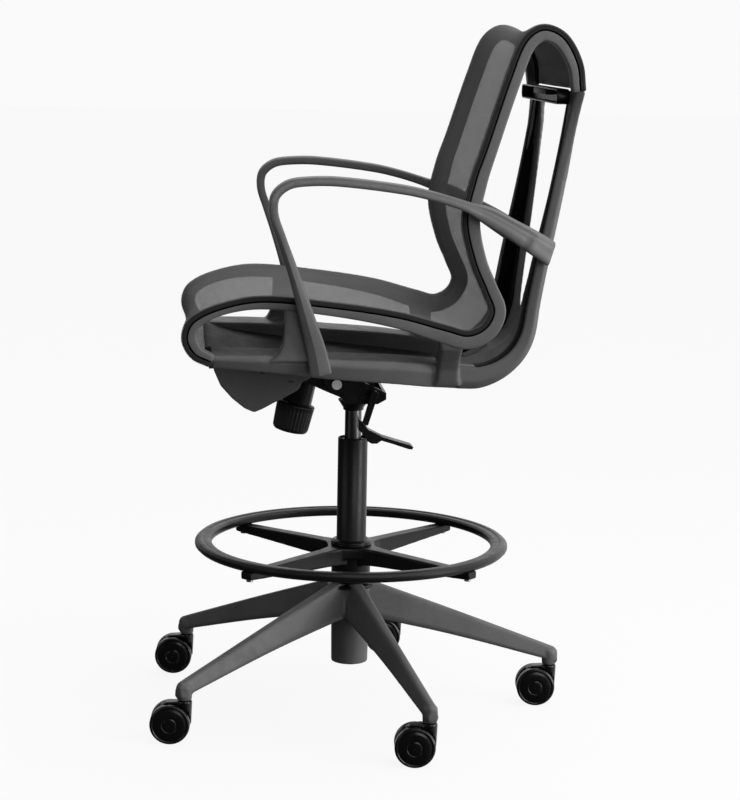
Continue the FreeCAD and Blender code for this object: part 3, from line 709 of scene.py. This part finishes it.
def make_strut_shade_sheets():
    """Painted shade: black sheets on the front and the inner side of each strut, down into the channel of
    the elbow, where shade falls.
    """
    rows = smooth_rows(SPINE_LINE, 160)
    rings = []
    for (y, z, thick), (ny, nz) in zip(rows, normals_of(rows)):
        if y < 186 or z > 1028:
            continue
        foot = read_off(WEB, z) + 0.2
        x0 = read_off(INNER, z)
        sole = min(x0 - 2.2, read_off(SOLE, z))
        outer = [(184, thick + 0.7), (x0 + 2.5, thick + 0.7), (x0 - 1.6, 0.62 * thick),
                 (x0 - 1.6, foot + 1.2), (sole, foot + 1.2)]
        inner = [(sole, foot), (x0 + 2, foot), (x0 + 2, 0.6 * thick), (x0 + 5, thick - 1.5),
                 (184, thick - 1.5)]
        rings.append(band_ring(y, z, ny, nz, rounded(outer + inner, 0.6, 2)))
    place_pair(skin("strut_liner_left", rings, material=STRUT_SHADE_BLACK), "edge_trim")


def make_elbow_pads():
    """A low outlined pad on each side of the rear panel, just behind the seat."""
    rows = smooth_rows(SPINE_LINE, 220)
    lefts = normals_of(rows)
    picked = [(row, left) for row, left in zip(rows, lefts) if 196 < row[0] < 243 and row[1] < 620]
    rings = []
    for (y, z, thick), (ny, nz) in picked:
        section = rounded_box((62, read_off(PANEL, z) - 6), (12.0, 13.9), 0.8, 2)
        rings.append(band_ring(y, z, ny, nz, section))
    place_pair(skin("elbow_pad_left", rings, material=FRAME_GREY), "frame_plastic")


def make_side_members(side):
    """Beam, the two posts up to the rail, and the shoulder at the top of the strut, on one side."""
    def spot(x, y, z):
        return (side * x, y, z)

    rows = smooth_rows(BEAM_SECTIONS, 40)
    rings = []
    for y, x0, x1, z0, z1 in rows:
        ridge = z0 + 0.62 * (z1 - z0)
        drop = float(np.interp(y, [-140, -60, 100, 150], [0, 2.6, 2.6, 0]))
        outline = [(x0, z0 + 2), (x1 - 9, z0 - drop), (x1, ridge), (x1 - 2, z1), (x0, z1)]
        rings.append([spot(x, y, z) for x, z in rounded(outline, [3, 4, 5, 3, 3], 3)])
    parts = [skin("beam", rings)]
    for name, sections, radius in (("front_post", FRONT_POST, 4), ("rear_post", REAR_POST, 5)):
        rings = [[spot(leaned(x, z), y, z) for x, y in rounded_box((x0, x1), (y0, y1), radius)]
                 for x0, x1, y0, y1, z in sections]
        parts.append(skin(name, rings))
    flare = []
    for share in np.linspace(0, 1, 16):
        z = 915 + 138 * share
        back = 319 + 19.5 * share - 2.5 * share * share
        outer = 186 + 46 * share ** 2.6
        ring = rounded_box((160 + 4 * share, outer), (back - 19 + 2.5 * share, back), 3)
        flare.append([spot(x, y, z) for x, y in ring])
    parts.append(skin("shoulder", flare))
    return parts


def make_frame():
    parts = []
    for side in (-1, 1):
        parts += make_spine(side)
        parts += make_side_members(side)
    frame_piece = paint(moulding("frame_moulding", parts, 2.0, soften=7, keep=0.4), FRAME_GREY)
    nodes = ["spine_frame", "lower_beam_left", "lower_beam_right", "rail_posts"]
    place(frame_piece, "seat", nodes)
    make_strut_shade_sheets()
    make_elbow_pads()


# ---------------------------------------------------------------- arms
def arm_section(wide, thick, upright, lean):
    """Rounded ribbon; on the upright part a ridge runs down the outer face, which leans in behind."""
    dip = 3.5 * upright
    points = [(-wide / 2, -thick / 2), (wide / 2 - dip - lean, -thick / 2),
              (wide / 2 - 0.42 * lean, 0.08 * thick),
              (wide / 2 - dip, thick / 2), (-wide / 2, thick / 2)]
    corner = min(thick, wide) * 0.28
    return rounded(points, [corner, corner, 1.5 + 6 * (1 - upright), corner, corner], 4)


def make_arms():
    rows = smooth_rows(ARM_LINE, 150)
    rings = []
    for i, (y, z, x, wide, thick) in enumerate(rows):
        before, after = rows[max(i - 1, 0)], rows[min(i + 1, len(rows) - 1)]
        run = Vector((0, after[0] - before[0], after[1] - before[1])).normalized()
        up = X_AXIS.cross(run)
        upright = min(max((880 - z) / 90, 0), 1) if y < 0 else 0
        here = Vector((x, y, z))
        lean = float(np.interp(y, [150, 175, 254, 262], [0, 9, 9, 0]))
        trail = max(0.0, y - 270) * 0.24 if z < 850 else 0.0
        rings.append([tuple(here + X_AXIS * a + up * b - run * (trail * b / thick * 2))
                      for a, b in arm_section(wide, thick, upright, lean)])
    left = skin("arm_loop_left", end_rings(rings, (0.9, 0.86), 2.0), material=FRAME_GREY)
    place_pair(left, "frame_plastic", "arm_left")


# ---------------------------------------------------------------- small mouldings of the seat
def cut(obj, *cutters):
    """Cut closed shapes out of obj."""
    for cutter in cutters:
        mod = obj.modifiers.new("cut", "BOOLEAN")
        mod.operation = "DIFFERENCE"
        mod.solver = "EXACT"
        mod.object = cutter
        apply_modifiers(obj)
        remove(cutter)
    return obj


def extrude_x(name, outline, x0, x1):
    """Extrude a YZ outline from x0 to x1."""
    return skin(name, [[(x, y, z) for y, z in outline] for x in (x0, x1)])


def make_crossbar():
    """Channel between the struts, open to the front, with a clip block in its middle."""
    outer = skin("top_channel", [[(x, y, z) for x, z in rounded_box((-186, 186), (1031, 1055), 11.5, 8)]
                                 for y in (298, 318)])
    outer = bevel(outer, 1.2, 3)
    pocket = skin("pocket", [[(x, y, z) for x, z in rounded_box((-183.4, 183.4), (1033.2, 1052.8), 9.4, 8)]
                             for y in (296, 314)])
    bar = paint(bevel(cut(outer, pocket), 0.5, 2), GLOSS_BLACK)
    place(bar, "seat", ["top_crossbar"])
    clip = paint(block("channel_clip", (-62, 62), (299.5, 313.5), (1043, 1052), 1.5), FRAME_GREY)
    place(clip, "seat")


def cover_wall(outline, wall=2.8):
    """The outline as a bent strip, open at the top."""
    ys = [y for y, z in outline]
    zs = [z for y, z in outline]
    mid, rim = (min(ys) + max(ys)) / 2, 612.0
    across = 1 - 2 * wall / (max(ys) - min(ys))
    down = 1 - wall / (rim - min(zs))
    return list(outline) + [(mid + (y - mid) * across, rim + (z - rim) * down) for y, z in reversed(outline)]


def make_cover():
    """Front cover: two closed cheeks and a bent wall between them, notched for the tension tube."""
    outline = rounded(COVER_OUTLINE, [0.5, 6, 14, 20, 18, 7, 20, 20, 20, 8, 8, 6, 0.5], 4)
    front = [point for point in outline if point[0] < -123]
    parts = [extrude_x("front_wall", cover_wall(front), -60, 60)]
    for side in (-1, 1):
        x0, x1, x2 = side * 58.5, side * 92, side * 95
        parts.append(extrude_x("side_wall", cover_wall(outline), min(x0, x1), max(x0, x1)))
        parts.append(extrude_x("cheek", outline, min(x1 - side, x2), max(x1 - side, x2)))
    shell = paint(moulding("front_cover_shell", parts, 1.5, soften=4, keep=0.3), COVER_GREY)
    place(shell, "seat", ["front_cover"])
    # Thin gloss-black plates on each cheek paint the shade inside two slots; the slots themselves are not
    # cut.
    for side, tag in ((1, "left"), (-1, "right")):
        x = sorted((side * 94.6, side * 95.2))
        slots = [block("slot", x, (y - wide / 2, y + wide / 2), (z - 1, z + 1), 0.3)
                 for y, z, wide in ((-157, 587.5, 8), (-110, 573.5, 9))]
        slot_shadows = paint(join("cover_slots_" + tag, slots), GLOSS_BLACK)
        place(slot_shadows, "seat")


PAN_LINE = [                    # Y, underside, top
    (-251, 634, 638), (-245, 622, 638.5), (-236, 612.5, 636), (-218, 611, 631), (-200, 610, 627),
    (-150, 608, 619.5), (-110, 605.5, 615), (-30, 600, 607.5), (60, 594, 600), (146, 586.5, 591),
]


def make_pan():
    """Dished pan between the beams, from the front edge to the spine; its very dark grey paints the shade
    under the seat.
    """
    beams = smooth_rows(BEAM_SECTIONS, 40)
    rings = []
    for y, under, top in PAN_LINE:
        half = float(np.interp(y, beams[:, 0], beams[:, 1])) + 4
        dip = 6.0 if y < -100 else 3.0
        ring = []
        for share in np.linspace(-1, 1, 21):
            ring.append((half * share, y, top - dip * (1 - share * share)))
        for share in np.linspace(1, -1, 21):
            ring.append((half * share, y, under - 0.4 * dip * (1 - share * share)))
        rings.append(ring)
    pan = bevel(skin("seat_pan", rings), 1.0, 3, 50)
    place(paint(pan, PAN_SHADE_GREY), "seat", ["front_cross_member"])


# ---------------------------------------------------------------- column, foot ring and base
def make_column():
    tube = lathe("column_tube", soft_profile(
        [(100, 23), (100, 25), (200, 25.0), (463.5, 25), (465, 24), (465, 23), (462.5, 22.9), (280, 22.9),
         (100, 23)], 0.8)[:-1], material=SATIN_BLACK)
    place(tube, "base", ["outer_tube"])
    cap = lathe("hub_cap", soft_profile(
        [(209, 25.4), (209, 38), (210.4, 39), (212, 38.4), (213.2, 36), (214.5, 30), (214.5, 25.4),
         (209, 25.4)], 1.0)[:-1], material=GLOSS_BLACK)
    place(cap, "base", ["base_hub_cap"])
    collar = lathe("clamp_collar", soft_profile(
        [(281, 25.2), (281, 33.5), (282, 34.5), (284.6, 34.5), (285.0, 33.6), (285.6, 34.4), (287.5, 34.2),
         (290.4, 30), (291, 28.2), (290.4, 26.6), (289.6, 25.2), (281, 25.2)], 0.7)[:-1],
        material=GLOSS_BLACK)
    place(collar, "foot_ring", ["ring_collar"])


def make_foot_ring():
    low, high, r0, r1 = 277.0, 292.0, 236.6, 264.6
    profile = [(low, r0 + 3), (low, r1 - 5), (low + 5, r1), (high - 5, r1 - 0.2), (high - 1, r1 - 5),
               (high, r1 - 9), (high - 0.6, r1 - 13), (high - 1.8, r1 - 14), (high - 1.2, r1 - 16),
               (high - 1.4, r0 + 5), (high - 4, r0), (low + 3, r0), (low, r0 + 3)]
    hoop = lathe("foot_ring_hoop", soft_profile(profile, 2.4, 4)[:-1], segments=220, material=SATIN_BLACK)
    place(hoop, "foot_ring", ["foot_ring"])


def make_spider():
    """Sleeve, hub plate with hollowed edges, and four deep-webbed spokes with blunt ends."""
    parts = [lathe("sleeve", [(217, 0), (217, 32), (219, 33), (281, 33), (281, 0)], segments=72)]
    fillet = 62.0               # where the hollow between two spokes runs into them
    for k in range(4):
        turn = Matrix.Rotation(math.radians(45 + 90 * k), 3, "Z")
        rings = []
        for r, low, high, half in SPOKE_SECTIONS:
            ring = rounded_box((-half, half), (low, high), 2.2)
            rings.append([tuple(turn @ Vector((r, y, z))) for y, z in ring])
        parts.append(skin("spoke", rings))
        between = Matrix.Rotation(math.radians(90 * k), 3, "Z")
        plan = [(20, -28), (20, 28)]
        for n in range(9):
            a = math.radians(45 - 90 * n / 8)
            reach = fillet - 22 * math.cos(math.radians(90 * n / 8 - 45)) ** 3
            plan.append((reach * math.cos(a), reach * math.sin(a)))
        plate = [[tuple(between @ Vector((x, y, z))) for x, y in plan] for z in (262, 280.5)]
        parts.append(skin("gusset", plate))
    spider = moulding("ring_spider_casting", parts, 1.7, soften=3, keep=0.35)
    bore = lathe("bore", [(200, 0), (200, 25.1), (300, 25.1), (300, 0)])
    spider = paint(cut(spider, bore), SATIN_BLACK)
    place(spider, "foot_ring", ["ring_spider"])


def stem_place(k):
    """Where the stem of caster k meets the floor plane."""
    a = LEG_PHASE + 2 * math.pi * k / LEGS
    return Vector((STEM_CIRCLE * math.cos(a), STEM_CIRCLE * math.sin(a), 0))


def leg_parts(k):
    """One leg: narrow top facet, tall tapering sides, and a tip that turns down over the caster socket."""
    turn = Matrix.Rotation(LEG_PHASE + 2 * math.pi * k / LEGS, 3, "Z")
    rows = smooth_rows([(r, (low + high) / 2, high - low, below, above) for r, low, high, below, above
                        in LEG_SECTIONS], 36)
    rings = []
    for r, mid, tall, below, above in rows:
        low, high = mid - tall / 2, mid + tall / 2
        shoulder = high - 0.12 * tall
        outline = [(-below / 2 + 1.5, low), (below / 2 - 1.5, low), (below / 2, low + 0.16 * tall),
                   (above / 2 + 1.2, shoulder), (above / 2 - 2, high), (-above / 2 + 2, high),
                   (-above / 2 - 1.2, shoulder), (-below / 2, low + 0.16 * tall)]
        rings.append([tuple(turn @ Vector((r, y, z))) for y, z in rounded(outline, 2.2, 3)])
    tip = rings[-1]
    middle = np.mean(tip, axis=0)
    out = np.array(turn @ Vector((4.5, 0, -3.0)))
    rings.append([tuple(middle + (np.array(p) - middle) * 0.8 + out) for p in tip])
    profile = [(69.6, 0), (69.6, 11), (70.6, 12), (90, 12.4), (95, 11), (95, 0)]
    stub = lathe("stub", profile, stem_place(k), segments=48)
    return [skin("leg", rings), stub]


def make_base():
    parts = [lathe("hub", [(77, 0), (77, 30), (78, 31), (150, 32), (206, 33), (209, 32), (209, 0)])]
    for k in range(LEGS):
        parts += leg_parts(k)
    star = moulding("base_star_moulding", parts, 2.0, soften=4, keep=0.35)
    bores = [lathe("bore", [(99.8, 0), (99.8, 25.3), (230, 25.3), (230, 0)]),
             lathe("well", [(60, 0), (60, 19), (101, 19), (101, 0)], segments=72)]
    for k in range(LEGS):
        bores.append(lathe("socket", [(60, 0), (60, 8.6), (90, 8.6), (90, 0)], stem_place(k), segments=48))
    star = paint(cut(star, *bores), BASE_GREY)
    place(star, "base", ["base_star"])


# ---------------------------------------------------------------- casters
WHEEL_PROFILE = [               # along the axle from the middle plane, radius
    (5.2, 4.1), (5.2, 12), (6.7, 14), (6.7, 26), (5.2, 28), (5.2, 31), (6.4, 32.5), (9.0, 32.5), (9.3, 32.1),
    (9.7, 32.5), (18.4, 32.5), (20.4, 31.5), (21.5, 29.8), (21.5, 28.6), (20.3, 27.6), (20.6, 26.4),
    (21.9, 23), (22.6, 18), (23.0, 13), (22.3, 12.2), (22.4, 11.2), (23.3, 9.5), (23.8, 4), (23.8, 0),
    (19.9, 0), (19.9, 4.1),
]


def make_caster(k):
    """Two wheels and the hooded fork between them."""
    stem = stem_place(k)
    axle = Vector((math.cos(CASTER_SWING), math.sin(CASTER_SWING), 0))
    trail = Vector((math.sin(CASTER_SWING), -math.cos(CASTER_SWING), 0))
    hub = stem + trail * TRAIL + Vector((0, 0, WHEEL_R))
    name = "caster_%d" % (k + 1)
    for sign, side in ((1, "left"), (-1, "right")):
        wheel = lathe(name + "_tyre_" + side, soft_profile(WHEEL_PROFILE + [WHEEL_PROFILE[0]], 0.7, 2)[:-1],
                      hub, axle * sign, 72, CASTER_BLACK)
        place(wheel, name + "_" + side, [name + "_wheel_" + side])
    disc = lathe("disc", [(-4.2, 0), (-4.2, 24), (-3.2, 25), (3.2, 25), (4.2, 24), (4.2, 0)], hub, axle, 72)
    profile = [(30, 0), (30, 11), (58, 12.2), (66, 12.5), (FORK_TOP, 11.6), (FORK_TOP, 0)]
    neck = lathe("neck", profile, stem, Z_AXIS, 48)
    slope = []
    for across, reach, drop in ((-11, 2, 4), (-9, 0, 0), (9, 0, 0), (11, 2, 4)):
        for part in ((stem + trail * (4 - reach), FORK_TOP - drop), (hub + trail * (6 - reach), 67.5 - drop),
                     (hub + trail * 16, 60.5 - drop), (hub + trail * 14, 50), (stem, 50)):
            point = part[0] + axle * across
            slope.append((point.x, point.y, part[1]))
    rings = [slope[n:n + 5] for n in range(0, 20, 5)]
    fork = moulding(name + "_hood", [disc, neck, skin("slope", rings)], 1.1, soften=3, keep=0.3)
    clear = WHEEL_R + 0.9
    profile = [(4.7, 0), (4.7, clear), (36, clear), (36, 0)]
    tools = [lathe("wheel_space", profile, hub, axle * sign, 72) for sign in (1, -1)]
    tools.append(lathe("axle_bore", [(-30, 0), (-30, 4.0), (30, 4.0), (30, 0)], hub, axle, 32))
    fork = paint(cut(fork, *tools), CASTER_BLACK)
    place(fork, name, [name + "_fork"])


# ---------------------------------------------------------------- tension knob
KNOB_RIBS = 30
RIB_POINTS = 6
RIB_DEPTH = 1.5
KNOB_PROFILE = [                # along the axis, radius, share of the ribs' depth
    (0.0, 0.0, 0), (0.0, 29.5, 0), (0.8, 31.6, 0), (2.4, 32.5, 0), (4.0, 32.4, 0), (5.0, 32.2, 1),
    (12, 31.8, 1), (24, 31.2, 1), (36, 30.6, 1), (41.5, 30.2, 1), (43, 29.7, 0.2), (46, 28.2, 0),
    (48, 25.5, 0), (49, 21, 0), (48.4, 16, 0), (48.2, 0.0, 0),
]


def rib_dent(n):
    """How deep point n of the knob's girth lies below the crest of its rib."""
    crest = 0.5 - 0.5 * math.cos(2 * math.pi * n / RIB_POINTS)
    return RIB_DEPTH * (1 - crest ** 0.5)


def make_knob():
    """Ribbed grip around the lower end of the tension tube."""
    down = Vector((0, -math.sin(KNOB_TILT), -math.cos(KNOB_TILT)))
    knob = lathe("tension_grip", KNOB_PROFILE, KNOB_TOP, down, KNOB_RIBS * RIB_POINTS, KNOB_BLACK, X_AXIS,
                 rib_dent)
    place(knob, "knob", ["tension_knob"])


# ---------------------------------------------------------------- carried-over CAD nodes
CAD_FINISH = [                  # material, and the width of the softened edges of each CAD node that has it
    (GLOSS_BLACK, {"mechanism_housing": 1.6, "taper_socket": 0.6, "height_lever": 1.2, "lever_paddle": 2.6,
                   "guide_bush": 0.6}),
    (SATIN_BLACK, {"seat_plate": 1.2}),
    (CASTER_BLACK, {"caster_sockets": 0.3}),
    (GREY_STEEL, {"gas_cylinder": 0.5}),
    # The pivot pin's near-white colour is a painted highlight.
    (PIN_HIGHLIGHT_WHITE, {"pivot_pin": 0.8}),
    (SPRING_STEEL, {"tension_spring": 0}),
    (BRIGHT_STEEL, {"piston_rod": 0.3, "release_pin": 0.3, "retaining_clip": 0.3, "thrust_bearing": 0.4,
                    "tension_screw": 0.4, "seat_screws": 0.4, "ring_screws": 0.4}),
    (BRIGHT_STEEL, {"caster_%d_pins" % (k + 1): 0 for k in range(LEGS)}),
]


def finish_cad(name, material, width):
    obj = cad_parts[name]
    obj = obj if isinstance(obj, bpy.types.Object) else bpy.data.objects[obj]
    paint(obj, material)
    if width:
        weld = obj.modifiers.new("weld", "WELD")
        weld.merge_threshold = 0.00002
        soft = obj.modifiers.new("soft_edges", "BEVEL")
        soft.width = width * MM
        soft.segments = 3
        soft.limit_method = "ANGLE"
        soft.angle_limit = math.radians(38)


def finish_cad_nodes():
    for material, widths in CAD_FINISH:
        for name, width in widths.items():
            finish_cad(name, material, width)


# ---------------------------------------------------------------- studio
FLOOR_GLOW = 0.897
FLOOR_GREY = 0.06
BACKDROP = 0.955


def floor_material():
    """Pale studio floor: mostly its own even light, with a little grey that shows soft contact shadows."""
    n = Nodes("studio_floor")
    n.link(n.shade(n.noise(3), FLOOR_GREY * 0.985, FLOOR_GREY), n.shader.inputs["Base Color"])
    n.set(Roughness=0.9, Specular_IOR_Level=0.0, Emission_Color=(1, 1, 1, 1), Emission_Strength=FLOOR_GLOW)
    return n.material


def make_stage():
    reach, level = 30000.0, -0.3
    corners = [(x, y, level) for x, y in rectangle((-reach, reach), (-reach, reach))]
    floor = make_object("floor", corners, [(0, 1, 2, 3)], floor_material())
    floor.visible_diffuse = False
    floor.visible_glossy = False


def make_world():
    """White from above and behind, dim from the camera's side; the backdrop itself is plain white."""
    world = bpy.data.worlds.new("studio")
    bpy.context.scene.world = world
    world.use_nodes = True
    tree = world.node_tree
    tree.nodes.clear()
    place_node = tree.nodes.new("ShaderNodeTexCoord")
    dot = tree.nodes.new("ShaderNodeVectorMath")
    dot.operation = "DOT_PRODUCT"
    dot.inputs[1].default_value = Vector((-0.35, 0.8, 0.5)).normalized()
    tree.links.new(place_node.outputs["Generated"], dot.inputs[0])
    spread = tree.nodes.new("ShaderNodeMapRange")
    spread.interpolation_type = "SMOOTHSTEP"
    for key, value in (("From Min", -0.35), ("From Max", 0.95), ("To Min", 0.08), ("To Max", 1.7)):
        spread.inputs[key].default_value = value
    tree.links.new(dot.outputs["Value"], spread.inputs["Value"])
    glow = tree.nodes.new("ShaderNodeBackground")
    tree.links.new(spread.outputs["Result"], glow.inputs["Strength"])
    plain = tree.nodes.new("ShaderNodeBackground")
    plain.inputs["Color"].default_value = (BACKDROP, BACKDROP, BACKDROP, 1)
    seen = tree.nodes.new("ShaderNodeLightPath")
    mix = tree.nodes.new("ShaderNodeMixShader")
    tree.links.new(seen.outputs["Is Camera Ray"], mix.inputs["Fac"])
    tree.links.new(glow.outputs["Background"], mix.inputs[1])
    tree.links.new(plain.outputs["Background"], mix.inputs[2])
    out = tree.nodes.new("ShaderNodeOutputWorld")
    tree.links.new(mix.outputs["Shader"], out.inputs["Surface"])


def soft_light(name, spot, target, size, power):
    """A rectangular lamp that the camera can't see, aimed at target; metres and watts."""
    data = bpy.data.lights.new(name, "AREA")
    data.shape = "RECTANGLE"
    data.size, data.size_y = size
    data.energy = power
    obj = add_object(name, data)
    obj.location = spot
    obj.rotation_mode = "QUATERNION"
    obj.rotation_quaternion = (Vector(target) - Vector(spot)).to_track_quat("-Z", "Y")
    obj.visible_camera = False


def make_lights():
    soft_light("top_box", (0.2, 0.8, 3.2), (0, 0, 0.6), (2.6, 2.6), 40)
    soft_light("rear_box", (1.6, 3.0, 1.2), (0, 0.1, 0.8), (1.2, 2.6), 76)
    soft_light("front_box", (1.4, -3.0, 1.5), (0, -0.2, 0.7), (2.0, 2.0), 13)
    soft_light("fill_box", (3.6, 1.0, 1.6), (0, 0, 0.7), (1.8, 1.8), 26)


CAMERA_LENS = 100.2             # on a 36 mm sensor
CAMERA_PLACE = (3.6801, -0.2897, 1.1339)
CAMERA_TURN = (0.08604, 0.16255, 0.01829)   # yaw from the -X direction, pitch down, roll


def make_camera():
    data = bpy.data.cameras.new("studio_camera")
    data.lens = CAMERA_LENS
    data.sensor_width = 36
    camera = add_object("studio_camera", data)
    yaw, pitch, roll = CAMERA_TURN
    ahead = Vector((-math.cos(yaw) * math.cos(pitch), math.sin(yaw) * math.cos(pitch), -math.sin(pitch)))
    level = ahead.cross(Z_AXIS).normalized()
    above = level.cross(ahead)
    right = level * math.cos(roll) + above * math.sin(roll)
    up = above * math.cos(roll) - level * math.sin(roll)
    turn = Matrix((right, up, -ahead)).transposed()
    camera.rotation_mode = "QUATERNION"
    camera.rotation_quaternion = turn.to_quaternion()
    camera.location = CAMERA_PLACE
    bpy.context.scene.camera = camera


make_rails()
make_hook_ends()
make_mesh()
make_frame()
make_arms()
make_crossbar()
make_cover()
make_pan()
make_column()
make_foot_ring()
make_spider()
make_base()
for caster_index in range(LEGS):
    make_caster(caster_index)
make_knob()
finish_cad_nodes()
make_stage()
make_world()
make_lights()
make_camera()
bpy.context.scene.view_settings.view_transform = "Standard"
